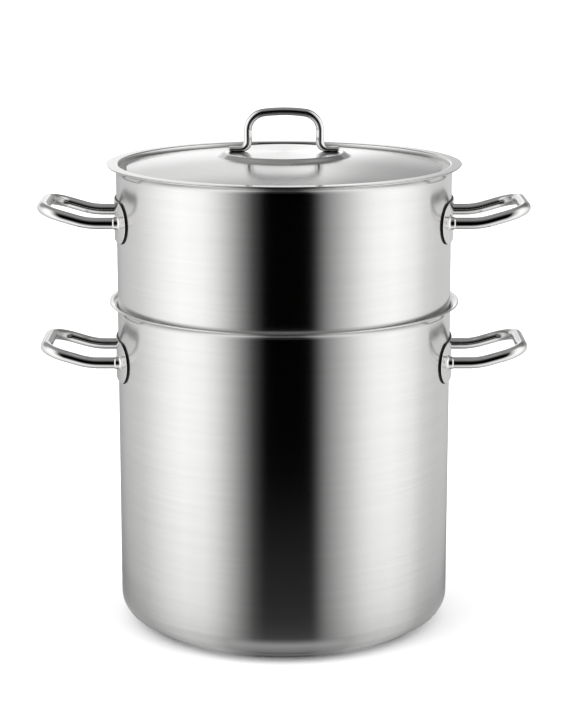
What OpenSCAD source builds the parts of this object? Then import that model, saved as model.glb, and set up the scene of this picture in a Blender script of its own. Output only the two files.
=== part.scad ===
// Stockpot with a stacked steamer insert and a recessed lid, all in stainless sheet.
// Millimetres, +Z up. The origin is the centre of the base, on the surface the pot stands on.
// X runs through the side handles, and Y from the front (-Y) to the back.

/* [Pot] */
// Outside diameter of the pot's wall
pot_d = 320; // [300:5:340]
// Height of the pot's rim above the surface it stands on
pot_h = 314; // [280:1:360]
// Outside radius of the corner between wall and bottom
pot_corner_r = 20.6; // [16:0.2:24]
// Sheet thickness of the pot and the insert
sheet_t = 1; // [0.8:0.1:1]

/* [Base] */
// Height of the sandwich base under the pot's bottom
base_h = 4; // [3.6:0.2:6]
// Sheet thickness of the cap that encloses the aluminium core
cap_t = 0.6; // [0.4:0.1:0.8]
// Outside radius of the cap's lower edge
cap_edge_r = 1.5; // [1.2:0.1:2]

/* [Pouring rims] */
// Radius of the flare, on the inner face of the sheet
rim_flare_r = 8; // [7:0.5:9]
// Outside diameter of both rims
rim_d = 335.6; // [334.8:0.2:337]

/* [Steamer insert] */
// How much smaller the insert's wall is than the pot's, in diameter
insert_undersize = 0.6; // [0.4:0.1:1]
// Height of the insert's rim above the pot's rim
insert_rise = 131; // [110:1:160]
// Depth of the insert's bottom below the pot's rim
insert_nesting = 28; // [24:1:40]
// Outside radius of the shoulder that seats in the pot's flare
shoulder_r = 3; // [2.5:0.5:3]
// Outside radius of the insert's bottom corner
insert_corner_r = 8; // [6:1:12]
// Clearance left where one vessel seats on the next
seat_gap = 0.3; // [0.3:0.1:0.5]
// Diameter of the steam holes
steam_hole_d = 8; // [5:0.5:9]
// Radial distance between rings of steam holes
steam_ring_pitch = 24; // [22:1:27]
// Number of rings of steam holes around the centre hole
steam_rings = 5; // [3:1:5]

/* [Side handles] */
// Outside diameter of the handle tube
tube_d = 11; // [10:0.5:12]
// Wall thickness of the handle tube
tube_t = 1.2; // [1:0.1:1.5]
// Distance between the centres of a handle's two legs
leg_spacing = 87; // [80:1:92]
// Distance from the pot's axis to where the legs start to rise
leg_end_x = 175.5; // [174:0.5:182]
// Centreline radius of the bend that lifts the grip
lift_bend_r = 70; // [60:1:90]
// Sine of the angle by which the grip rises; both choices have a short, exact cosine too
lift_sine = 0.28; // [0.28, 0.352]
// Straight length between the lifting bend and the grip's corner
grip_run = 13.5; // [5:0.5:20]
// Centreline radius of the grip's corners
grip_corner_r = 20.5; // [18:0.5:30]
// Height of the handle's legs below the pot's rim
pot_handle_drop = 54; // [45:1:80]
// Height of the handle's legs below the insert's rim
insert_handle_drop = 51; // [45:1:60]

/* [Handle plates] */
// Width of the plate, end to end
plate_w = 131; // [124:1:136]
// Height of the plate
plate_h = 39; // [34:1:44]
// How far the plate stands out from the wall
plate_t = 2; // [1.5:0.1:2.5]
// Length of the drawn collar around each leg, beyond the plate's face
collar_l = 5; // [4:0.5:6]
// Thickness of the collar's sleeve
collar_t = 0.6; // [0.5:0.1:1]
// Radius of the fillet between collar and plate
collar_fillet_r = 2.4; // [2:0.2:3]

/* [Lid] */
// Outside diameter of the lid's flange
lid_d = 337.8; // [337:0.2:340]
// Sheet thickness of the lid
lid_t = 0.8; // [0.6:0.1:0.9]
// Outside diameter of the plug that centres the lid in the insert
plug_d = 316.4; // [315:0.2:316.6]
// Depth of the recess below the flange's top
recess_depth = 6.2; // [5:0.2:8]
// Inner radius of the bends between flange, plug and recess floor
lid_bend_r = 1; // [0.8:0.1:1.2]
// Radius at which the dome starts to rise from the recess floor
dome_foot_r = 152; // [151.5:0.1:152.5]
// Radius at which the foot's slope turns into the dome
dome_edge_r = 149.6; // [149:0.1:150]
// Height of the dome's edge above the recess floor
dome_edge_h = 2.4; // [2:0.1:3]
// Radius of curvature of the dome
dome_curve_r = 940; // [800:10:1100]
// Radius of the flat boss in the middle of the lid
boss_r = 57.7; // [57:0.1:60]
// Radial width of the slope around the boss
boss_slope_w = 4.3; // [4:0.1:5]
// Height of the boss above the dome
boss_h = 3.9; // [3:0.1:4.5]

/* [Lid handle] */
// Diameter of the handle's rod
rod_d = 7.8; // [6:0.1:8.5]
// Distance between the centres of the two legs
lid_leg_spacing = 68.6; // [64:0.2:74]
// Height of the handle's top above the boss
lid_grip_h = 42; // [38:0.5:50]
// Centreline radius of the shoulders
lid_shoulder_r = 17; // [14:0.5:20]
// Centreline radius of the bends into the feet
foot_bend_r = 7; // [6.5:0.5:8]
// Distance between the outer ends of the feet
foot_span = 106; // [102:1:112]
// Thickness of the flattened feet
foot_t = 4.6; // [4:0.1:5]
// Width of the flattened feet
foot_w = 9; // [8:0.5:11]

/* [Hidden] */
$fn = 144;
// Derived lengths are kept to a thousandth, so that faces that share an edge share it exactly
function thousandth(x) = round(x * 1000) / 1000;
// Facet count for the lid's dome, whose circles are far larger than the lid
dome_fn = 1440;
pot_r = pot_d / 2;
insert_r = (pot_d - insert_undersize) / 2;
insert_top = pot_h + insert_rise;
insert_floor_z = pot_h - insert_nesting;
// The shoulder's arc and the flare's arc stay seat_gap apart along the line through their centres
flare_x = pot_r - sheet_t + rim_flare_r;
shoulder_x = insert_r - shoulder_r;
seat_reach = rim_flare_r + shoulder_r + seat_gap;
shoulder_drop = sqrt(pow(seat_reach, 2) - pow(flare_x - shoulder_x, 2));
shoulder_z = thousandth(pot_h - rim_flare_r + shoulder_drop);
// The shoulder's reverse bend has the same two radii, so the skirt lies this far inside the wall
skirt_r = insert_r - 2 * shoulder_r + sheet_t;
skirt_top = shoulder_z - 2 * shoulder_r + sheet_t;
cap_r = pot_r - pot_corner_r + 1.6;
tube_r = tube_d / 2;
leg_y = leg_spacing / 2;
lift_angle = asin(lift_sine);
plate_r = pot_r + plate_t;
plate_face_x = sqrt(pow(plate_r, 2) - pow(leg_y, 2));
pot_leg_z = pot_h - pot_handle_drop;
insert_leg_z = insert_top - insert_handle_drop;
lid_under_z = insert_top + seat_gap;
lid_top_z = lid_under_z + lid_t;
plug_r = plug_d / 2;
recess_z = lid_top_z - recess_depth;
dome_edge_z = recess_z + dome_edge_h;
dome_centre_z = thousandth(dome_edge_z - sqrt(pow(dome_curve_r, 2) - pow(dome_edge_r, 2)));
boss_foot_r = boss_r + boss_slope_w;
boss_foot_z = thousandth(dome_centre_z + sqrt(pow(dome_curve_r, 2) - pow(boss_foot_r, 2)));
boss_z = boss_foot_z + boss_h;
rod_r = rod_d / 2;
lid_leg_x = lid_leg_spacing / 2;
foot_axis_z = boss_z + foot_t / 2;
crown_z = thousandth(boss_z + lid_grip_h - rod_r);
lid_shoulder_x = lid_leg_x - lid_shoulder_r;
lid_shoulder_z = crown_z - lid_shoulder_r;
// Reach of the cutting blocks, larger than the whole assembly
far = 600;
steel = "silver";
polished = "gainsboro";

// Quarter of a bent sheet around the origin; sx and sy pick the quadrant
module quarter_bend(inner_r, t, sx, sy) {
    outer_r = inner_r + t;
    intersection() {
        difference() {
            circle(r = outer_r);
            circle(r = inner_r);
        }
        translate([min(sx, 0) * outer_r, min(sy, 0) * outer_r]) square(outer_r);
    }
}

// Section of a wall that flares out into a pouring rim; wall_r is the wall's outer face
module flared_wall(wall_r, bottom_z, top_z) {
    inner_r = wall_r - sheet_t;
    centre_x = inner_r + rim_flare_r;
    translate([inner_r, bottom_z]) square([sheet_t, top_z - rim_flare_r - bottom_z]);
    translate([centre_x, top_z - rim_flare_r])
        quarter_bend(rim_flare_r - sheet_t, sheet_t, -1, 1);
    translate([centre_x, top_z - sheet_t]) square([rim_d / 2 - centre_x, sheet_t]);
}

// Section of a flat bottom with a rounded corner; wall_r is the outer face
module dished_bottom(wall_r, bottom_z, corner_r, t) {
    flat_r = wall_r - corner_r;
    translate([0, bottom_z]) square([flat_r, t]);
    translate([flat_r, bottom_z + corner_r]) quarter_bend(corner_r - t, t, 1, -1);
}

// Straight strip of sheet between two points of its upper face
module slope(a, b, t) {
    polygon([a, [a[0], a[1] - t], [b[0], b[1] - t], b]);
}

// Section of a tube wall, drawn around the origin
module tube_section() {
    difference() {
        circle(r = tube_r);
        circle(r = tube_r - tube_t);
    }
}

module pot_shell() {
    color(steel) rotate_extrude() {
        dished_bottom(pot_r, base_h, pot_corner_r, sheet_t);
        flared_wall(pot_r, base_h + pot_corner_r, pot_h);
    }
}

// Aluminium disc that spreads the heat, sealed between the pot and its cap
module base_core() {
    core_r = cap_r - cap_t;
    chamfer = cap_edge_r - cap_t;
    color("darkgray") rotate_extrude()
        polygon([
            [0, cap_t], [core_r - chamfer, cap_t], [core_r, cap_t + chamfer],
            [core_r, base_h], [0, base_h]
        ]);
}

module base_cap() {
    color(steel) rotate_extrude() {
        dished_bottom(cap_r, 0, cap_edge_r, cap_t);
        translate([cap_r - cap_t, cap_edge_r]) square([cap_t, base_h - cap_edge_r]);
    }
}

module steam_holes() {
    translate([0, 0, insert_floor_z - 1]) cylinder(d = steam_hole_d, h = sheet_t + 2);
    for (ring = [1 : steam_rings], i = [0 : 6 * ring - 1])
        rotate([0, 0, 60 * i / ring])
            translate([ring * steam_ring_pitch, 0, insert_floor_z - 1])
                cylinder(d = steam_hole_d, h = sheet_t + 2);
}

// Straight-walled vessel on a stepped-in skirt, with a perforated bottom
module insert_shell() {
    color(steel) difference() {
        rotate_extrude() {
            flared_wall(insert_r, shoulder_z, insert_top);
            translate([shoulder_x, shoulder_z])
                quarter_bend(shoulder_r - sheet_t, sheet_t, 1, -1);
            translate([shoulder_x, skirt_top])
                quarter_bend(shoulder_r - sheet_t, sheet_t, -1, 1);
            translate([skirt_r - sheet_t, insert_floor_z + insert_corner_r])
                square([sheet_t, skirt_top - insert_floor_z - insert_corner_r]);
            dished_bottom(skirt_r, insert_floor_z, insert_corner_r, sheet_t);
        }
        steam_holes();
    }
}

// Part of the right-hand grip beyond the lifting bend, in its own tilted plane
module grip_end() {
    straight_y = leg_y - grip_corner_r;
    for (side = [-1, 1]) {
        translate([0, side * leg_y, 0]) rotate([0, 90, 0])
            linear_extrude(grip_run) tube_section();
        translate([grip_run, side * straight_y, 0]) rotate([0, 0, side > 0 ? 0 : -90])
            rotate_extrude(angle = 90) translate([grip_corner_r, 0]) tube_section();
    }
    translate([grip_run + grip_corner_r, straight_y, 0]) rotate([90, 0, 0])
        linear_extrude(2 * straight_y) tube_section();
}

// Places the grip's tilted plane at the end of the lifting bend
module lifted() {
    translate([leg_end_x, 0, lift_bend_r]) rotate([0, -lift_angle, 0])
        translate([0, 0, -lift_bend_r]) children();
}

// Right-hand handle with its legs at height z, cut off along the wall it is welded to
module side_handle(z, wall_r) {
    color(polished) translate([0, 0, z]) {
        difference() {
            for (side = [-1, 1]) {
                translate([pot_r / 2, side * leg_y, 0]) rotate([0, 90, 0])
                    linear_extrude(leg_end_x - pot_r / 2) tube_section();
                // the bend is drawn too long, and cut off square to the grip
                translate([leg_end_x, side * leg_y, lift_bend_r]) rotate([90, 0, 0])
                    rotate([0, 0, -90]) rotate_extrude(angle = 2 * lift_angle)
                        translate([lift_bend_r, 0]) tube_section();
            }
            cylinder(r = wall_r, h = far, center = true);
            lifted() translate([0, -far / 2, -far / 2]) cube(far);
        }
        lifted() grip_end();
    }
}

// Collar drawn up around one leg: a thin sleeve on a filleted foot
module collar() {
    foot_r = tube_r + collar_t + collar_fillet_r;
    root_l = plate_r - pot_r / 2;
    sleeve_l = root_l - (plate_r - plate_face_x) + collar_l;
    fillet_l = root_l + collar_fillet_r;
    rotate([0, 90, 0]) rotate_extrude() difference() {
        square([foot_r, sleeve_l]);
        translate([foot_r, fillet_l]) circle(r = collar_fillet_r);
        translate([tube_r + collar_t, fillet_l]) square([foot_r, sleeve_l]);
    }
}

// Oblong plate wrapped on the wall behind the right-hand handle
module handle_plate(z, wall_r) {
    end_r = plate_h / 2;
    color(polished) translate([0, 0, z]) difference() {
        union() {
            intersection() {
                cylinder(r = plate_r, h = far, center = true);
                rotate([90, 0, 90]) linear_extrude(far) {
                    square([plate_w - plate_h, plate_h], center = true);
                    for (side = [-1, 1])
                        translate([side * (plate_w / 2 - end_r), 0]) circle(r = end_r);
                }
            }
            for (side = [-1, 1]) translate([pot_r / 2, side * leg_y, 0]) collar();
        }
        cylinder(r = wall_r, h = far, center = true);
        for (side = [-1, 1])
            translate([0, side * leg_y, 0]) rotate([0, 90, 0]) cylinder(r = tube_r, h = far);
    }
}

module mirrored() {
    mirror([1, 0, 0]) children();
}

module lid_shell() {
    floor_r = plug_r - lid_t - lid_bend_r;
    flange_in_r = plug_r + lid_bend_r;
    color(steel) rotate_extrude() {
        // flange, and the bend down to the plug
        translate([flange_in_r, lid_under_z]) square([lid_d / 2 - flange_in_r, lid_t]);
        translate([flange_in_r, lid_under_z - lid_bend_r]) quarter_bend(lid_bend_r, lid_t, -1, 1);
        // plug wall, and the bend into the recess floor
        translate([plug_r - lid_t, recess_z + lid_bend_r])
            square([lid_t, lid_under_z - recess_z - 2 * lid_bend_r]);
        translate([floor_r, recess_z + lid_bend_r]) quarter_bend(lid_bend_r, lid_t, 1, -1);
        translate([dome_foot_r, recess_z - lid_t]) square([floor_r - dome_foot_r, lid_t]);
        slope([dome_edge_r, dome_edge_z], [dome_foot_r, recess_z], lid_t);
        // dome
        intersection() {
            translate([0, dome_centre_z]) difference() {
                circle(r = dome_curve_r, $fn = dome_fn);
                circle(r = dome_curve_r - lid_t, $fn = dome_fn);
            }
            translate([boss_foot_r, 0]) square([dome_edge_r - boss_foot_r, far]);
        }
        // boss
        slope([boss_r, boss_z], [boss_foot_r, boss_foot_z], lid_t);
        translate([0, boss_z - lid_t]) square([boss_r, lid_t]);
    }
}

// Round rod of the lid's handle from the shoulder down to the end of the bend, on the +X side
module lid_leg() {
    bend_top_z = foot_axis_z + foot_bend_r;
    translate([lid_shoulder_x, 0, lid_shoulder_z]) rotate([90, 0, 0])
        rotate_extrude(angle = 90) translate([lid_shoulder_r, 0]) circle(r = rod_r);
    translate([lid_leg_x, 0, bend_top_z]) cylinder(r = rod_r, h = lid_shoulder_z - bend_top_z);
    // the bend is pressed flat where it meets the boss
    difference() {
        translate([lid_leg_x + foot_bend_r, 0, bend_top_z]) rotate([90, 0, 0])
            rotate([0, 0, 180]) rotate_extrude(angle = 90)
                translate([foot_bend_r, 0]) circle(r = rod_r);
        translate([0, -rod_d, boss_z - rod_d]) cube([foot_span, 2 * rod_d, rod_d]);
    }
}

// Flattened foot of the lid's handle, from the bend to its outer end, on the +X side
module lid_foot() {
    start_x = lid_leg_x + foot_bend_r;
    translate([start_x, 0, foot_axis_z]) rotate([90, 0, 90])
        linear_extrude(foot_span / 2 - start_x) {
            square([foot_w - foot_t, foot_t], center = true);
            for (side = [-1, 1]) translate([side * (foot_w - foot_t) / 2, 0]) circle(d = foot_t);
        }
}

module lid_handle() {
    color(polished) {
        translate([-lid_shoulder_x, 0, crown_z]) rotate([0, 90, 0])
            cylinder(r = rod_r, h = 2 * lid_shoulder_x);
        lid_leg();
        lid_foot();
        mirrored() {
            lid_leg();
            lid_foot();
        }
    }
}

pot_shell();
base_core();
base_cap();
side_handle(pot_leg_z, pot_r);  // pot_handle_right
mirrored() side_handle(pot_leg_z, pot_r);  // pot_handle_left
handle_plate(pot_leg_z, pot_r);  // pot_plate_right
mirrored() handle_plate(pot_leg_z, pot_r);  // pot_plate_left
insert_shell();
side_handle(insert_leg_z, insert_r);  // insert_handle_right
mirrored() side_handle(insert_leg_z, insert_r);  // insert_handle_left
handle_plate(insert_leg_z, insert_r);  // insert_plate_right
mirrored() handle_plate(insert_leg_z, insert_r);  // insert_plate_left
lid_shell();
lid_handle();
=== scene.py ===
"""Looks of the stockpot with its steamer insert and lid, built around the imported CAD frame.

Lengths are in metres. X runs through the side handles, -Y is the front and +Z is up.
"""

import math

import bmesh
import bpy
from mathutils import Matrix, Vector


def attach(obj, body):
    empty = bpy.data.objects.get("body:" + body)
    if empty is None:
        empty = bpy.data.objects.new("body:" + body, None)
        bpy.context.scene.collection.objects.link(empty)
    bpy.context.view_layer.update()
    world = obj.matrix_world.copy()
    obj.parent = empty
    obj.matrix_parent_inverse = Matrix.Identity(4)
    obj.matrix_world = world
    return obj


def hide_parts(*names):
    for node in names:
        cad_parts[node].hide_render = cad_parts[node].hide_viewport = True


MM = 0.001
TURN = 2 * math.pi
AROUND = 288  # segments around the pot's axis
TUBE_AROUND = 48  # segments around a bent tube or rod
COLLAR_AROUND = 64
HOLE_AROUND = 32
ARC_STEP = math.radians(6)  # largest turn between two points of a rounded corner

# Sizes shared with the CAD model, in millimetres
POT_R = 160.0
INSERT_R = 159.7
SHEET = 1.0
BASE_H = 4.0
CORNER_R = 20.6
CAP_R = 141.0
RIM_R = 167.8
FLARE_R = 8.0
LIP_ROUND = 0.49
POT_TOP = 314.0
INSERT_TOP = 445.0
INSERT_FLOOR = 286.0
SKIRT_R = 154.7
SHOULDER_LOW = 307.648
SHOULDER_R = 3.0
INSERT_CORNER_R = 8.0
HOLE_R = 4.0
HOLE_PITCH = 24.0
HOLE_RINGS = 5
HOLE_CHAMFER = 0.25
TUBE_R = 5.5
LEG_Y = 43.5
LEG_START_X = 156.5
LEG_END_X = 175.5
LIFT_R = 70.0
LIFT_SINE = 0.28
GRIP_RUN = 13.5
GRIP_R = 20.5
POT_LEG_Z = 260.0
INSERT_LEG_Z = 394.0
PLATE_W = 131.0
PLATE_H = 39.0
PLATE_T = 2.0
EDGE_SLOPE = math.radians(87)
EDGE_ROUND = 0.35
COLLAR_L = 5.0
COLLAR_R = 6.1
COLLAR_FILLET = 2.4
COLLAR_TAPER = 1.6
LID_R = 168.9
LID_T = 0.8
LID_LIP_ROUND = 0.39
LID_UNDER = 445.3
RECESS_Z = 439.9
PLUG_R = 158.2
DOME_R = 940.0
BOSS_R = 57.7
BOSS_FOOT_R = 62.0
BOSS_Z = 456.134
BOSS_FOOT_Z = 452.234
BOSS_FILLET = 5.5
DOME_EDGE_R = 149.6
DOME_EDGE_Z = 442.3
DOME_FOOT_R = 152.0
ROD_R = 3.9
LID_LEG_X = 34.3
LID_TOP_AXIS = 494.234
LID_SHOULDER_R = 17.0
LID_CROWN_R = 146.6
FOOT_BEND_R = 7.0
FOOT_END_X = 53.0
FOOT_T = 4.6
FOOT_W = 9.0
FOOT_TIP_NARROWING = 1.6
FOOT_GAP = 0.02

BRUSHED_ROUGHNESS = 0.17
BRUSHED_ANISOTROPY = 0.6
SCRATCH_STRENGTH = 0.1
FLOOR_GAIN = 2.75  # how much stronger the surround lights the floor than the steel shows it
PAINTED_EDGE_SHADE = "painted_edge_shade"  # 1 on the vertices of the plate's cut sheet edge, which is painted near-black as the shadow in its gap at the wall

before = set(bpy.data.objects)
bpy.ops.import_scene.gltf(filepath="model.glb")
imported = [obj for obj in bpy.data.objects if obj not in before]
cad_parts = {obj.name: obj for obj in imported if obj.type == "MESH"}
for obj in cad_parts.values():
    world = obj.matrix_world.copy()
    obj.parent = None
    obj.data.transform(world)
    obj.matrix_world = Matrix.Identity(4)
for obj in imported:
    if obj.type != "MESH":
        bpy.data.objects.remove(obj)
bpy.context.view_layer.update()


# ---------------------------------------------------------------- mesh helpers


def arc(centre, radius, start, end):
    """Points from angle start to end, in radians, around a centre."""
    steps = max(2, math.ceil(abs(end - start) / ARC_STEP))
    angles = [start + (end - start) * i / steps for i in range(steps + 1)]
    return [(centre[0] + radius * math.cos(a), centre[1] + radius * math.sin(a)) for a in angles]


def fillet(before, corner, after, radius):
    """Arc of that radius in the corner between two straight stretches."""
    c = Vector(corner)
    u, v = (Vector(before) - c).normalized(), (Vector(after) - c).normalized()
    half = u.angle(v) / 2
    centre = c + (u + v).normalized() * radius / math.sin(half)
    first, last = c + u * radius / math.tan(half), c + v * radius / math.tan(half)
    start = math.atan2(*(first - centre).yx)
    sweep = math.remainder(math.atan2(*(last - centre).yx) - start, TURN)
    return arc(centre, radius, start, start + sweep)


def outline(corners):
    """Outline through (r, z, fillet radius) corners, with a support point beside each rounding."""
    points = []
    for i, (r, z, radius) in enumerate(corners):
        if radius == 0:
            points.append((r, z))
        else:
            points += fillet(corners[i - 1][:2], (r, z), corners[i + 1][:2], radius)
    supported = [points[0]]
    for a, b in zip(points, points[1:]):
        length = math.dist(a, b)
        if length > 4:
            near = min(0.6, length / 8) / length
            for share in (near, 0.25, 0.5, 0.75, 1 - near):
                supported.append((a[0] + (b[0] - a[0]) * share, a[1] + (b[1] - a[1]) * share))
        if length > 1e-6:
            supported.append(b)
    return supported


def finish_mesh(bm, name, material, body, replaced, smooth_angle=40):
    """Turns a bmesh in millimetres into a piece that rides on a body."""
    bmesh.ops.remove_doubles(bm, verts=bm.verts, dist=1e-4)
    bmesh.ops.recalc_face_normals(bm, faces=bm.faces)
    bmesh.ops.scale(bm, vec=(MM, MM, MM), verts=bm.verts)
    mesh = bpy.data.meshes.new(name)
    bm.to_mesh(mesh)
    bm.free()
    mesh.shade_smooth()
    mesh.set_sharp_from_angle(angle=math.radians(smooth_angle))
    mesh.materials.append(material)
    piece = bpy.data.objects.new(name, mesh)
    bpy.context.scene.collection.objects.link(piece)
    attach(piece, body)
    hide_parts(replaced)


def lathe(bm, profile):
    """Turns an (r, z) profile around Z. A point on the axis becomes a single vertex."""
    rings = []
    for r, z in profile:
        if r < 1e-9:
            rings.append([bm.verts.new((0, 0, z))] * AROUND)
        else:
            turns = (TURN * i / AROUND for i in range(AROUND))
            rings.append([bm.verts.new((r * math.cos(a), r * math.sin(a), z)) for a in turns])
    skin(bm, rings, closed=False)


def skin(bm, rings, closed):
    """Joins neighbouring rings of vertices with faces."""
    pairs = list(zip(rings, rings[1:]))
    if closed:
        pairs.append((rings[-1], rings[0]))
    for a, b in pairs:
        for i in range(len(a)):
            j = (i + 1) % len(a)
            corners = []
            for v in (a[i], a[j], b[j], b[i]):
                if v not in corners:
                    corners.append(v)
            if len(corners) > 2:
                bm.faces.new(corners)


# ---------------------------------------------------------------- materials


def new_material(name):
    """A node material and its Principled shader."""
    material = bpy.data.materials.new(name)
    material.use_nodes = True
    return material, material.node_tree.nodes["Principled BSDF"]


def connect(tree, node, inputs):
    """Sets a node's inputs. A node or socket as a value is linked."""
    for key, value in inputs.items():
        if isinstance(value, bpy.types.NodeSocket):
            tree.links.new(value, node.inputs[key])
        elif isinstance(value, bpy.types.Node):
            tree.links.new(value.outputs[0], node.inputs[key])
        else:
            node.inputs[key].default_value = value


def add(tree, kind, settings=None, inputs=None):
    """A new node with its settings and inputs."""
    node = tree.nodes.new(kind)
    for key, value in (settings or {}).items():
        setattr(node, key, value)
    connect(tree, node, inputs or {})
    return node


def math_node(tree, operation, *values):
    """A Math node on values, nodes or sockets."""
    return add(tree, "ShaderNodeMath", {"operation": operation}, dict(enumerate(values)))


def remap(tree, value, low, high, to_low, to_high):
    """Maps a value from one range to another, clamped."""
    return add(tree, "ShaderNodeMapRange", None, {
        "Value": value, "From Min": low, "From Max": high, "To Min": to_low, "To Max": to_high,
    })


def blend(tree, data_type, factor, a, b):
    """The socket of a value or colour that goes from a to b."""
    node = add(tree, "ShaderNodeMix", {"data_type": data_type}, {"Factor": factor, "A": a, "B": b})
    return node.outputs["Result"]


def noise(tree, place, scale, detail, roughness=0.5):
    """A noise texture over a place."""
    return add(tree, "ShaderNodeTexNoise", None, {
        "Vector": place, "Scale": scale, "Detail": detail, "Roughness": roughness})


def object_place(tree):
    """Place on the object, in metres."""
    return add(tree, "ShaderNodeTexCoord").outputs["Object"]


def split_place(tree):
    """Distance from the Z axis, then x, y and z on the object."""
    x, y, z = add(tree, "ShaderNodeSeparateXYZ", None, {0: object_place(tree)}).outputs
    radius = math_node(tree, "SQRT", math_node(
        tree, "ADD", math_node(tree, "MULTIPLY", x, x), math_node(tree, "MULTIPLY", y, y)))
    return radius, x, y, z


def brushed_steel(name, across):
    """Steel brushed around the axis. Across is what crosses the scratches: r (lid) or z (wall)."""
    material, shader = new_material(name)
    tree = material.node_tree
    radius, x, y, z = split_place(tree)
    angle = math_node(tree, "ARCTAN2", y, x)
    crossing = radius if across == "r" else z

    def around(per_metre, per_turn):
        """A place that changes fast across the scratches and slowly along them."""
        return add(tree, "ShaderNodeCombineXYZ", None, {
            0: math_node(tree, "MULTIPLY", crossing, per_metre),
            1: math_node(tree, "MULTIPLY", math_node(tree, "SINE", angle), per_turn),
            2: math_node(tree, "MULTIPLY", math_node(tree, "COSINE", angle), per_turn),
        })

    fine = noise(tree, around(2600.0, 2.2), 1.0, 3.0, 0.65)
    wide = noise(tree, around(160.0, 1.0), 1.0, 2.0)
    mixed = math_node(tree, "ADD", math_node(tree, "MULTIPLY", fine, 0.65),
                      math_node(tree, "MULTIPLY", wide, 0.35))
    connect(tree, shader, {
        "Base Color": blend(tree, "RGBA", remap(tree, mixed, 0.3, 0.7, 0.0, 1.0),
                            (0.60, 0.597, 0.592, 1), (0.66, 0.657, 0.652, 1)),
        "Roughness": remap(
            tree, mixed, 0.3, 0.7, BRUSHED_ROUGHNESS * 0.94, BRUSHED_ROUGHNESS * 1.06),
        "Normal": add(tree, "ShaderNodeBump", None, {
            "Strength": SCRATCH_STRENGTH, "Distance": 0.00002, "Height": fine}),
        "Tangent": add(tree, "ShaderNodeTangent", {"direction_type": "RADIAL", "axis": "Z"}),
        "Metallic": 1.0,
        "Anisotropic": BRUSHED_ANISOTROPY,
        "Anisotropic Rotation": 0.25,
    })
    return material


def polished_steel(name):
    """Mirror-polished steel with faint buffing marks. The plate's cut edge is painted near-black as
    the shadow in its gap at the wall, and made dull.
    """
    material, shader = new_material(name)
    tree = material.node_tree
    place = object_place(tree)
    smears = noise(tree, place, 90.0, 4.0, 0.6)
    waves = noise(tree, place, 55.0, 1.0)
    polished = blend(tree, "RGBA", remap(tree, smears, 0.3, 0.7, 0.0, 1.0),
                     (0.66, 0.655, 0.65, 1), (0.70, 0.695, 0.69, 1))
    # Painted shadow: the plate's edge gets a near-black base colour where the gap at the wall lies
    # in shade.
    edge_shade = add(tree, "ShaderNodeAttribute", {"attribute_name": PAINTED_EDGE_SHADE}).outputs["Fac"]
    connect(tree, shader, {
        "Base Color": blend(tree, "RGBA", edge_shade, polished, (0.02, 0.02, 0.02, 1)),
        "Roughness": blend(tree, "FLOAT", edge_shade, remap(tree, smears, 0.35, 0.75, 0.07, 0.13), 0.45),
        "Normal": add(tree, "ShaderNodeBump", None, {
            "Strength": 0.25, "Distance": 0.00015, "Height": waves}),
        "Metallic": 1.0,
    })
    return material


def mill_aluminium(name):
    """Rolled aluminium of the heat-spreading core."""
    material, shader = new_material(name)
    tree = material.node_tree
    stretched = add(tree, "ShaderNodeMapping", None, {
        "Vector": object_place(tree), "Scale": (40.0, 900.0, 900.0)})
    connect(tree, shader, {
        "Roughness": remap(tree, noise(tree, stretched, 1.0, 3.0), 0.3, 0.7, 0.3, 0.45),
        "Base Color": (0.75, 0.75, 0.76, 1),
        "Metallic": 1.0,
    })
    return material


WALL = brushed_steel("brushed_wall", "z")
LID = brushed_steel("brushed_lid", "r")
SHINE = polished_steel("polished_fittings")
ALUMINIUM = mill_aluminium("core_aluminium_look")


# ---------------------------------------------------------------- vessels


def pot_shell():
    """Drawn pot: flat bottom, rounded corner, straight wall and flared rim."""
    bm = bmesh.new()
    low, inner = BASE_H, POT_R - SHEET
    lathe(bm, outline([
        (0, low, 0), (POT_R, low, CORNER_R), (POT_R, POT_TOP - SHEET, FLARE_R - SHEET),
        (RIM_R, POT_TOP - SHEET, LIP_ROUND), (RIM_R, POT_TOP, LIP_ROUND),
        (inner, POT_TOP, FLARE_R), (inner, low + SHEET, CORNER_R - SHEET), (0, low + SHEET, 0),
    ]))
    finish_mesh(bm, "pot_body", WALL, "stockpot", "pot_shell")


def base_cap():
    """Shallow cap over the aluminium core under the pot."""
    bm = bmesh.new()
    inner, sheet = CAP_R - 1.2, 0.6
    lathe(bm, outline([
        (0, 0, 0), (CAP_R, 0, 1.5), (CAP_R, BASE_H, 0.5),
        (inner, BASE_H, 0), (inner, sheet, 0), (0, sheet, 0),
    ]))
    finish_mesh(bm, "base_capsule", WALL, "stockpot", "base_cap")


def hole_centres():
    """One steam hole in the middle and rings of six, twelve and so on around it."""
    yield 0.0, 0.0
    for ring in range(1, HOLE_RINGS + 1):
        for i in range(6 * ring):
            a = TURN * i / (6 * ring)
            yield ring * HOLE_PITCH * math.cos(a), ring * HOLE_PITCH * math.sin(a)


def circle_edges(bm, centre, radius, z, segments):
    """Vertices and edges of a level circle."""
    verts = [
        bm.verts.new((centre[0] + radius * math.cos(TURN * i / segments),
                      centre[1] + radius * math.sin(TURN * i / segments), z))
        for i in range(segments)
    ]
    edges = [bm.edges.new((verts[i], verts[(i + 1) % segments])) for i in range(segments)]
    return verts, edges


def perforated_floor(bm, radius, low, high):
    """Flat bottom with chamfered steam holes between two heights."""
    for z in (low, high):
        edges = circle_edges(bm, (0, 0), radius, z, AROUND)[1]
        for centre in hole_centres():
            edges += circle_edges(bm, centre, HOLE_R + HOLE_CHAMFER, z, HOLE_AROUND)[1]
        bmesh.ops.triangle_fill(bm, use_beauty=True, edges=edges)
    bore = (
        (HOLE_CHAMFER, low), (0, low + HOLE_CHAMFER),
        (0, high - HOLE_CHAMFER), (HOLE_CHAMFER, high),
    )
    for centre in hole_centres():
        rings = [circle_edges(bm, centre, HOLE_R + grow, z, HOLE_AROUND)[0] for grow, z in bore]
        skin(bm, rings, closed=False)


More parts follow.
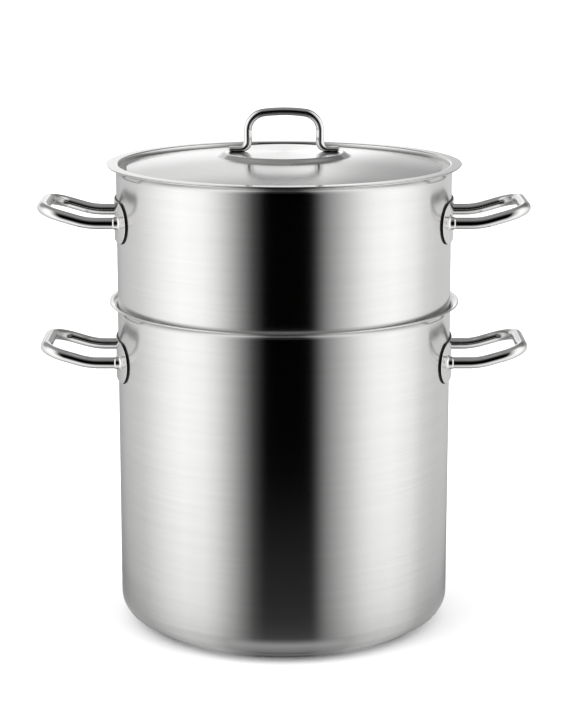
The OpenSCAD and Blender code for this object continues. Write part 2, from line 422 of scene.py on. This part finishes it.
def insert_shell():
    """Upper vessel: perforated bottom, narrower skirt, shoulder on the pot's seat, flared rim."""
    bm = bmesh.new()
    inner, skirt_in = INSERT_R - SHEET, SKIRT_R - SHEET
    flat_r = SKIRT_R - INSERT_CORNER_R - 0.01
    low = INSERT_FLOOR
    lathe(bm, outline([
        (flat_r, low, 0), (SKIRT_R, low, INSERT_CORNER_R),
        (SKIRT_R, SHOULDER_LOW, SHOULDER_R - SHEET), (INSERT_R, SHOULDER_LOW, SHOULDER_R),
        (INSERT_R, INSERT_TOP - SHEET, FLARE_R - SHEET),
        (RIM_R, INSERT_TOP - SHEET, LIP_ROUND), (RIM_R, INSERT_TOP, LIP_ROUND),
        (inner, INSERT_TOP, FLARE_R), (inner, SHOULDER_LOW + SHEET, SHOULDER_R - SHEET),
        (skirt_in, SHOULDER_LOW + SHEET, SHOULDER_R),
        (skirt_in, low + SHEET, INSERT_CORNER_R - SHEET), (flat_r, low + SHEET, 0),
    ]))
    perforated_floor(bm, flat_r, low, low + SHEET)
    finish_mesh(bm, "insert_body", WALL, "insert", "insert_shell")


# ---------------------------------------------------------------- side handles


def sweep(bm, stations):
    """Skins rings along a path of (point, tangent, side, half width, half height) stations."""
    rings = []
    for point, tangent, side, half_w, half_h in stations:
        normal = tangent.cross(side).normalized()
        rings.append([
            bm.verts.new(point + side * half_w * math.cos(a) + normal * half_h * math.sin(a))
            for a in (TURN * i / TUBE_AROUND for i in range(TUBE_AROUND))
        ])
    skin(bm, rings, closed=False)
    bm.faces.new(rings[0])
    bm.faces.new(rings[-1])


def grip_path(leg_z):
    """Half of a side handle's centreline, from the front leg's start to the middle of the grip."""
    angle = math.asin(LIFT_SINE)
    pivot = Vector((LEG_END_X, 0, leg_z + LIFT_R))
    tilt = Matrix.Rotation(-angle, 3, "Y")

    def lifted(x, y):
        return pivot + tilt @ Vector((x, y, -LIFT_R))

    leg = LEG_END_X - LEG_START_X
    points = [Vector((LEG_START_X + leg * i / 6, -LEG_Y, leg_z)) for i in range(7)]
    for i in range(1, 11):
        a = angle * i / 10
        points.append(pivot + Vector((LIFT_R * math.sin(a), -LEG_Y, -LIFT_R * math.cos(a))))
    points += [lifted(GRIP_RUN * i / 3, -LEG_Y) for i in range(1, 4)]
    for i in range(1, 25):
        a = math.pi / 2 * i / 24
        points.append(lifted(GRIP_RUN + GRIP_R * math.sin(a), -LEG_Y + GRIP_R * (1 - math.cos(a))))
    straight = LEG_Y - GRIP_R
    points += [lifted(GRIP_RUN + GRIP_R, -straight * (1 - i / 4)) for i in range(1, 5)]
    return points


def transported(points):
    """Tangents and side directions carried along a path without twist."""
    count = len(points)
    tangents = [
        (points[min(i + 1, count - 1)] - points[max(i - 1, 0)]).normalized() for i in range(count)
    ]
    side = Vector((0, 1, 0))
    frames = []
    for tangent in tangents:
        side = (side - tangent * side.dot(tangent)).normalized()
        frames.append((tangent, side.copy()))
    return frames


def side_handle(name, node, body, leg_z, right):
    """Bent tube: two legs out of the plate, lifted, then joined by the grip."""
    bm = bmesh.new()
    half = grip_path(leg_z)
    points = half + [Vector((p.x, -p.y, p.z)) for p in reversed(half[:-1])]
    sweep(bm, [(p, t, s, TUBE_R, TUBE_R) for p, (t, s) in zip(points, transported(points))])
    mirror_left(bm, right)
    finish_mesh(bm, name, SHINE, body, node)


def mirror_left(bm, right):
    """Handles are made on the right. One for the left side is mirrored."""
    if not right:
        bmesh.ops.scale(bm, vec=(-1, 1, 1), verts=bm.verts)


# ---------------------------------------------------------------- handle plates


# How far inside the plate's outline its rounding and its flat face start
ROUND_START = (PLATE_T - EDGE_ROUND * (1 - math.cos(EDGE_SLOPE))) / math.tan(EDGE_SLOPE)
FACE_START = ROUND_START + EDGE_ROUND * math.sin(EDGE_SLOPE)


def plate_rise(inset):
    """Height over the wall at a distance inside the outline: cut edge, rounding, flat face."""
    if inset < ROUND_START:
        return inset * math.tan(EDGE_SLOPE)
    if inset < FACE_START:
        return PLATE_T - EDGE_ROUND + math.sqrt(EDGE_ROUND ** 2 - (FACE_START - inset) ** 2)
    return PLATE_T


def plate_inset(y, z):
    """Distance of a point inside the plate's oblong outline."""
    end = PLATE_H / 2
    beyond = max(abs(y) - (PLATE_W / 2 - end), 0)
    return end - math.hypot(beyond, z)


def plate_x(wall_r, y, z):
    """The plate's face over the curved wall."""
    return math.sqrt((wall_r + plate_rise(max(plate_inset(y, z), 0))) ** 2 - y * y)


def oblong_ring(inset, segments):
    """Points of the outline pulled in by inset, spread by the direction from its middle line."""
    end = PLATE_H / 2
    straight = PLATE_W / 2 - end
    radius = end - inset
    half_turn = [-math.pi / 2 + math.pi * i / segments for i in range(segments)]
    other_half = [math.pi / 2 + math.pi * i / segments for i in range(segments)]
    run = [straight - 2 * straight * i / segments for i in range(segments)]
    points = [(straight, a) for a in half_turn] + [(y, math.pi / 2) for y in run]
    points += [(-straight, a) for a in other_half] + [(-y, -math.pi / 2) for y in run]
    return [(y + radius * math.cos(a), radius * math.sin(a)) for y, a in points]


def handle_plate(name, node, body, leg_z, wall_r, right):
    """Oblong plate that follows the wall, with a collar around each leg."""
    bm = bmesh.new()
    edge_shade = bm.verts.layers.float.new(PAINTED_EDGE_SHADE)
    end = PLATE_H / 2
    steep = [ROUND_START * i / 3 for i in range(4)]
    turning = [FACE_START - EDGE_ROUND * math.sin(EDGE_SLOPE * (1 - i / 8)) for i in range(1, 9)]
    shares = (0.02, 0.1, 0.25, 0.4, 0.55, 0.7, 0.85, 1)
    face = [FACE_START + (end - FACE_START) * share for share in shares]
    rings = []
    for inset in steep + turning + face:
        r = wall_r + max(plate_rise(inset), 0.02)
        rings.append([
            bm.verts.new((math.sqrt(r ** 2 - y * y), y, z + leg_z))
            for y, z in oblong_ring(inset, 40)
        ])
    skin(bm, rings, closed=False)
    # The steep edge rings carry the mask for the painted near-black shadow in the gap at the wall.
    for ring in rings[:len(steep)]:
        for vertex in ring:
            vertex[edge_shade] = 1.0
    for side in (-1, 1):
        collar(bm, side * LEG_Y, leg_z, wall_r)
    mirror_left(bm, right)
    finish_mesh(bm, name, SHINE, body, node, smooth_angle=60)


def collar(bm, y0, leg_z, wall_r):
    """Sleeve drawn up around one leg, on a fillet that follows the plate's face."""
    face_x = math.sqrt((wall_r + PLATE_T) ** 2 - LEG_Y ** 2)
    top_x = face_x + COLLAR_L
    bore = TUBE_R - 0.05
    lip = TUBE_R - 0.02
    foot_r = COLLAR_R + COLLAR_FILLET
    rings = []

    def ring(radius, height):
        made = []
        for i in range(COLLAR_AROUND):
            y = radius * math.cos(TURN * i / COLLAR_AROUND)
            z = radius * math.sin(TURN * i / COLLAR_AROUND)
            made.append(bm.verts.new((height(y0 + y, z), y0 + y, z + leg_z)))
        rings.append(made)

    def tapered(share, step):
        """The sleeve's side, kept above the fillet where the wall curves away."""
        side_x = top_x - COLLAR_TAPER * (1 - share)
        return lambda y, z: max(side_x, plate_x(wall_r, y, z) + COLLAR_FILLET + 0.01 * step)

    ring(bore, lambda y, z: face_x - 1)
    ring(foot_r + 0.4, lambda y, z: plate_x(wall_r, y, z) - 0.35)
    for i in range(9):
        a = math.pi / 2 * i / 8
        rise = COLLAR_FILLET * (1 - math.cos(a))
        ring(foot_r - COLLAR_FILLET * math.sin(a), lambda y, z: plate_x(wall_r, y, z) + rise)
    for i in range(9):
        share = i / 8
        radius = lip + (COLLAR_R - TUBE_R + 0.02) * (1 - share * share * (3 - 2 * share))
        ring(radius, tapered(share, i))
    ring(bore, lambda y, z: top_x - 1)
    skin(bm, rings, closed=True)


# ---------------------------------------------------------------- lid


def dome_z(r):
    """Height of the lid's dome."""
    return DOME_EDGE_Z + math.sqrt(DOME_R ** 2 - r * r) - math.sqrt(DOME_R ** 2 - DOME_EDGE_R ** 2)


def lid_shell():
    """Boss, dome, recess and flange, as one sheet."""
    dome = [BOSS_FOOT_R + (DOME_EDGE_R - BOSS_FOOT_R) * i / 24 for i in range(1, 24)]
    top = [(0, BOSS_Z, 0), (BOSS_R, BOSS_Z, BOSS_FILLET), (BOSS_FOOT_R, BOSS_FOOT_Z, BOSS_FILLET)]
    top += [(r, dome_z(r), 0) for r in dome]
    top += [(DOME_EDGE_R, DOME_EDGE_Z, 0.8), (DOME_FOOT_R, RECESS_Z, 0.8)]
    under = [(r, z - LID_T, radius) for r, z, radius in reversed(top)]
    bm = bmesh.new()
    lathe(bm, outline(top + [
        (PLUG_R - LID_T, RECESS_Z, 1.0), (PLUG_R - LID_T, LID_UNDER + LID_T, 1.8),
        (LID_R, LID_UNDER + LID_T, LID_LIP_ROUND), (LID_R, LID_UNDER, LID_LIP_ROUND),
        (PLUG_R, LID_UNDER, 1.0), (PLUG_R, RECESS_Z - LID_T, 1.8),
    ] + under))
    finish_mesh(bm, "lid_disc", LID, "lid", "lid_shell")


def lid_handle():
    """Bow of bent rod, from the middle of its top down to one foot's end, then mirrored."""
    arcs = []
    crown = math.asin((LID_LEG_X - LID_SHOULDER_R) / (LID_CROWN_R - LID_SHOULDER_R))
    centre_z = LID_TOP_AXIS - LID_CROWN_R
    for i in range(9):
        a = crown * i / 8
        arcs.append((LID_CROWN_R * math.sin(a), centre_z + LID_CROWN_R * math.cos(a), ROD_R, ROD_R))
    sx = LID_LEG_X - LID_SHOULDER_R
    sz = centre_z + (LID_CROWN_R - LID_SHOULDER_R) * math.cos(crown)
    for i in range(1, 25):
        a = crown + (math.pi / 2 - crown) * i / 24
        arcs.append((
            sx + LID_SHOULDER_R * math.sin(a), sz + LID_SHOULDER_R * math.cos(a), ROD_R, ROD_R))
    foot_z = BOSS_Z + FOOT_T / 2 + FOOT_GAP
    bend_z = foot_z + FOOT_BEND_R
    arcs.append((LID_LEG_X, (sz + bend_z) / 2, ROD_R, ROD_R))
    for i in range(17):
        a = math.pi / 2 * i / 16
        flat = max(0.0, (i - 4) / 12) ** 1.5
        half_w = ROD_R + (FOOT_W / 2 - ROD_R) * flat
        half_h = ROD_R + (FOOT_T / 2 - ROD_R) * flat
        arcs.append((
            LID_LEG_X + FOOT_BEND_R * (1 - math.cos(a)), bend_z - FOOT_BEND_R * math.sin(a),
            half_w, half_h))
    end = FOOT_END_X - FOOT_T / 2
    arcs.append(((LID_LEG_X + FOOT_BEND_R + end) / 2, foot_z, FOOT_W / 2, FOOT_T / 2))
    for i in range(9):
        a = math.pi / 2 * i / 9
        shrink = math.cos(a)
        arcs.append((
            end + FOOT_T / 2 * math.sin(a), foot_z, FOOT_W / 2 - FOOT_TIP_NARROWING * (1 - shrink),
            FOOT_T / 2 * shrink))
    right = [(Vector((x, 0, z)), w, h) for x, z, w, h in arcs]
    left = [(Vector((-p.x, 0, p.z)), w, h) for p, w, h in reversed(right[1:])]
    line = left + right
    points = [p for p, _, _ in line]
    stations = []
    for i, (p, w, h) in enumerate(line):
        ahead, behind = points[min(i + 1, len(points) - 1)], points[max(i - 1, 0)]
        stations.append((p, (ahead - behind).normalized(), Vector((0, 1, 0)), w, h))
    bm = bmesh.new()
    sweep(bm, stations)
    finish_mesh(bm, "lid_bow", SHINE, "lid", "lid_handle")


# ---------------------------------------------------------------- stage


def bearing_of(tree, x, y):
    """Bearing in radians: 0 in front, positive to the right, half a turn behind the object."""
    return math_node(tree, "ARCTAN2", x, math_node(tree, "MULTIPLY", y, -1.0))


def by_bearing(tree, bearing, stops):
    """Levels through (degrees of bearing, level) stops."""
    share = math_node(tree, "ADD", math_node(tree, "DIVIDE", bearing, TURN), 0.5)
    return ramp(tree, share, stops, lambda degrees: degrees / 360 + 0.5)


def light_around(tree, bearing, behind_left, behind_right):
    """Light level by bearing: a soft box on each side, a card in front, a backdrop behind."""
    left_box = [
        (-117, 0.98), (-103, 1.2), (-90, 1.42), (-74, 1.6), (-57, 1.5), (-47, 1.2), (-38, 0.8),
        (-29, 0.38), (-21, 0.09), (-13.5, 0.0),
    ]
    right_box = [
        (19, 0.0), (22.5, 0.09), (29, 0.36), (46.5, 0.95), (55, 1.25), (64.5, 1.46), (80, 1.56),
        (99, 1.36), (113, 1.05),
    ]
    return by_bearing(tree, bearing, behind_left + left_box + right_box + behind_right)


def covered_and_open(tree, around, surround, card):
    """Surround times its bearing level, plus the card's level where the surround is dark."""
    uncovered = math_node(tree, "SUBTRACT", 1.0, math_node(tree, "MINIMUM", around, 1.0))
    return math_node(tree, "ADD", math_node(tree, "MULTIPLY", around, surround),
                     math_node(tree, "MULTIPLY", uncovered, card))


def studio_world():
    """What the steel reflects: soft boxes at the sides, a pale backdrop, a dark card in front."""
    world = bpy.data.worlds.new("studio")
    bpy.context.scene.world = world
    world.use_nodes = True
    tree = world.node_tree
    tree.nodes.clear()
    direction = add(tree, "ShaderNodeTexCoord")
    xyz = add(tree, "ShaderNodeSeparateXYZ", None, {0: direction.outputs["Generated"]})
    x, y, z = xyz.outputs

    def by_height(stops):
        """Levels through (degrees above the horizon, level) stops."""
        return ramp(tree, z, stops, lambda degrees: math.sin(math.radians(degrees)))

    bearing = bearing_of(tree, x, y)
    around = light_around(
        tree, bearing, [(-180, 1.0), (-176.5, 0.94), (-172, 0.82), (-134, 0.82)],
        [(128, 0.5), (150, 0.36), (171, 0.36), (176, 0.58), (178.2, 1.25), (180, 1.0)])
    backdrop = by_height([
        (0, 1.3), (9, 1.2), (12.5, 0.99), (17, 1.06), (21.3, 1.3), (22.6, 1.0), (23.6, 0.62),
        (25, 0.55), (31, 0.5), (50, 0.42), (90, 0.35),
    ])
    soft_boxes = by_height([(0, 1.0), (20, 1.0), (50, 0.85), (70, 0.6), (90, 0.35)])
    beside = by_bearing(tree, bearing, [
        (-125, 0.0), (-100, 1.0), (-25, 1.0), (-15, 0.0), (20, 0.0), (30, 1.0), (100, 1.0),
        (125, 0.0),
    ])
    surround = blend(tree, "FLOAT", beside, backdrop, soft_boxes)
    card = by_height([(0, 0.0), (25, 0.0), (36, 0.05), (55, 0.2), (76, 0.4), (90, 0.35)])
    overhead = remap(tree, z, 0.8, 0.98, 0.0, 1.0)
    seen = blend(tree, "FLOAT", overhead, covered_and_open(tree, around, surround, card), 0.35)
    path = add(tree, "ShaderNodeLightPath")
    lit = math_node(tree, "MULTIPLY", seen,
                    remap(tree, path.outputs["Is Diffuse Ray"], 0.0, 1.0, 1.0, FLOOR_GAIN))
    strength = blend(tree, "FLOAT", path.outputs["Is Camera Ray"], lit, 1.0)
    background = add(tree, "ShaderNodeBackground", None, {
        "Color": (1, 1, 1, 1), "Strength": strength})
    add(tree, "ShaderNodeOutputWorld", None, {"Surface": background})


def ramp(tree, value, stops, place):
    """Levels along a value, through (place, level) stops; place() turns the first into 0 to 1."""
    top = max(level for _, level in stops)
    node = add(tree, "ShaderNodeValToRGB", None, {"Fac": value})
    elements = node.color_ramp.elements
    while len(elements) < len(stops):
        elements.new(0.5)
    for element, (at, level) in zip(elements, stops):
        element.position = place(at)
        element.color = (level / top, level / top, level / top, 1)
    return math_node(tree, "MULTIPLY", node.outputs["Color"], top)


def staged_plane(name, material, z):
    """A wide level plane that belongs to the stage."""
    mesh = bpy.data.meshes.new(name)
    half = 20.0
    corners = [(-half, -half, 0), (half, -half, 0), (half, half, 0), (-half, half, 0)]
    mesh.from_pydata(corners, [], [(0, 1, 2, 3)])
    mesh.materials.append(material)
    obj = bpy.data.objects.new(name, mesh)
    bpy.context.scene.collection.objects.link(obj)
    obj.location.z = z
    return obj


def floor():
    """White paper that takes the soft contact shadow under the rounded base."""
    material, shader = new_material("floor_paper")
    connect(material.node_tree, shader, {
        "Base Color": (0.9, 0.9, 0.9, 1), "Roughness": 0.9, "Specular IOR Level": 0.0})
    staged_plane("floor", material, -0.0003).visible_glossy = False


def mirrored_floor():
    """The floor as the steel sees it: lit from the sides, dark in front, shaded at the base."""
    material = bpy.data.materials.new("floor_in_reflections")
    material.use_nodes = True
    tree = material.node_tree
    tree.nodes.clear()
    distance, x, y, _ = split_place(tree)

    def by_distance(stops):
        """Levels through (metres from the axis, level) stops."""
        end = stops[-1][0]
        share = math_node(tree, "DIVIDE", distance, end)
        return ramp(tree, share, stops, lambda metres: metres / end)

    # A ray off the wall lands at a smaller bearing than it set out on; widen it again.
    reach = math_node(tree, "MULTIPLY", distance, 2.0)
    widened = math_node(tree, "MULTIPLY", bearing_of(tree, x, y), math_node(
        tree, "DIVIDE", reach, math_node(tree, "SUBTRACT", reach, POT_R * MM)))
    around = light_around(
        tree, widened, [(-180, 0.4), (-163, 0.52), (-148, 0.72), (-134, 0.84)],
        [(130, 0.9), (150, 0.82), (165, 0.7), (180, 0.45)])
    surround = by_distance([
        (0.14, 0.3), (0.165, 0.52), (0.2, 0.56), (0.29, 0.76), (0.42, 0.84), (0.8, 0.93),
        (2.5, 1.0),
    ])
    card = by_distance([
        (0.141, 0.1), (0.155, 0.3), (0.17, 0.42), (0.2, 0.15), (0.235, 0.06), (0.29, 0.038),
        (0.37, 0.03), (0.5, 0.02), (0.75, 0.0),
    ])
    glow = add(tree, "ShaderNodeEmission", None, {
        "Strength": covered_and_open(tree, around, surround, card)})
    add(tree, "ShaderNodeOutputMaterial", None, {"Surface": glow})
    plane = staged_plane("floor_in_reflections", material, -0.0004)
    plane.visible_camera = False
    plane.visible_diffuse = False
    plane.visible_shadow = False
    plane.visible_transmission = False


def overhead_light():
    """Wide soft light from above. Only the floor takes it; the steel reflects the surround."""
    light = bpy.data.lights.new("overhead", "SUN")
    light.angle = math.radians(130)
    light.energy = 0.4
    obj = bpy.data.objects.new("overhead", light)
    obj.visible_glossy = False
    bpy.context.scene.collection.objects.link(obj)


def camera():
    """In front of the pot, looking slightly down."""
    down = 12.677
    data = bpy.data.cameras.new("camera")
    data.lens = 109.7
    data.sensor_width = 36
    data.sensor_fit = "AUTO"
    obj = bpy.data.objects.new("camera", data)
    obj.location = (-0.0014, -2.07717, 0.72017)
    obj.rotation_euler = (math.radians(90 - down), 0, 0)
    bpy.context.scene.collection.objects.link(obj)
    bpy.context.scene.camera = obj


camera()
studio_world()
overhead_light()
floor()
mirrored_floor()
bpy.context.scene.view_settings.view_transform = "Standard"

pot_shell()
base_cap()
insert_shell()
lid_shell()
lid_handle()
for vessel, body, leg_z, wall_r in (
    ("pot", "stockpot", POT_LEG_Z, POT_R), ("insert", "insert", INSERT_LEG_Z, INSERT_R),
):
    for side in ("right", "left"):
        right = side == "right"
        side_handle(f"{vessel}_grip_{side}", f"{vessel}_handle_{side}", body, leg_z, right)
        backing, plate = f"{vessel}_backing_{side}", f"{vessel}_plate_{side}"
        handle_plate(backing, plate, body, leg_z, wall_r, right)
core_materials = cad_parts["base_core"].data.materials
core_materials.clear()
core_materials.append(ALUMINIUM)
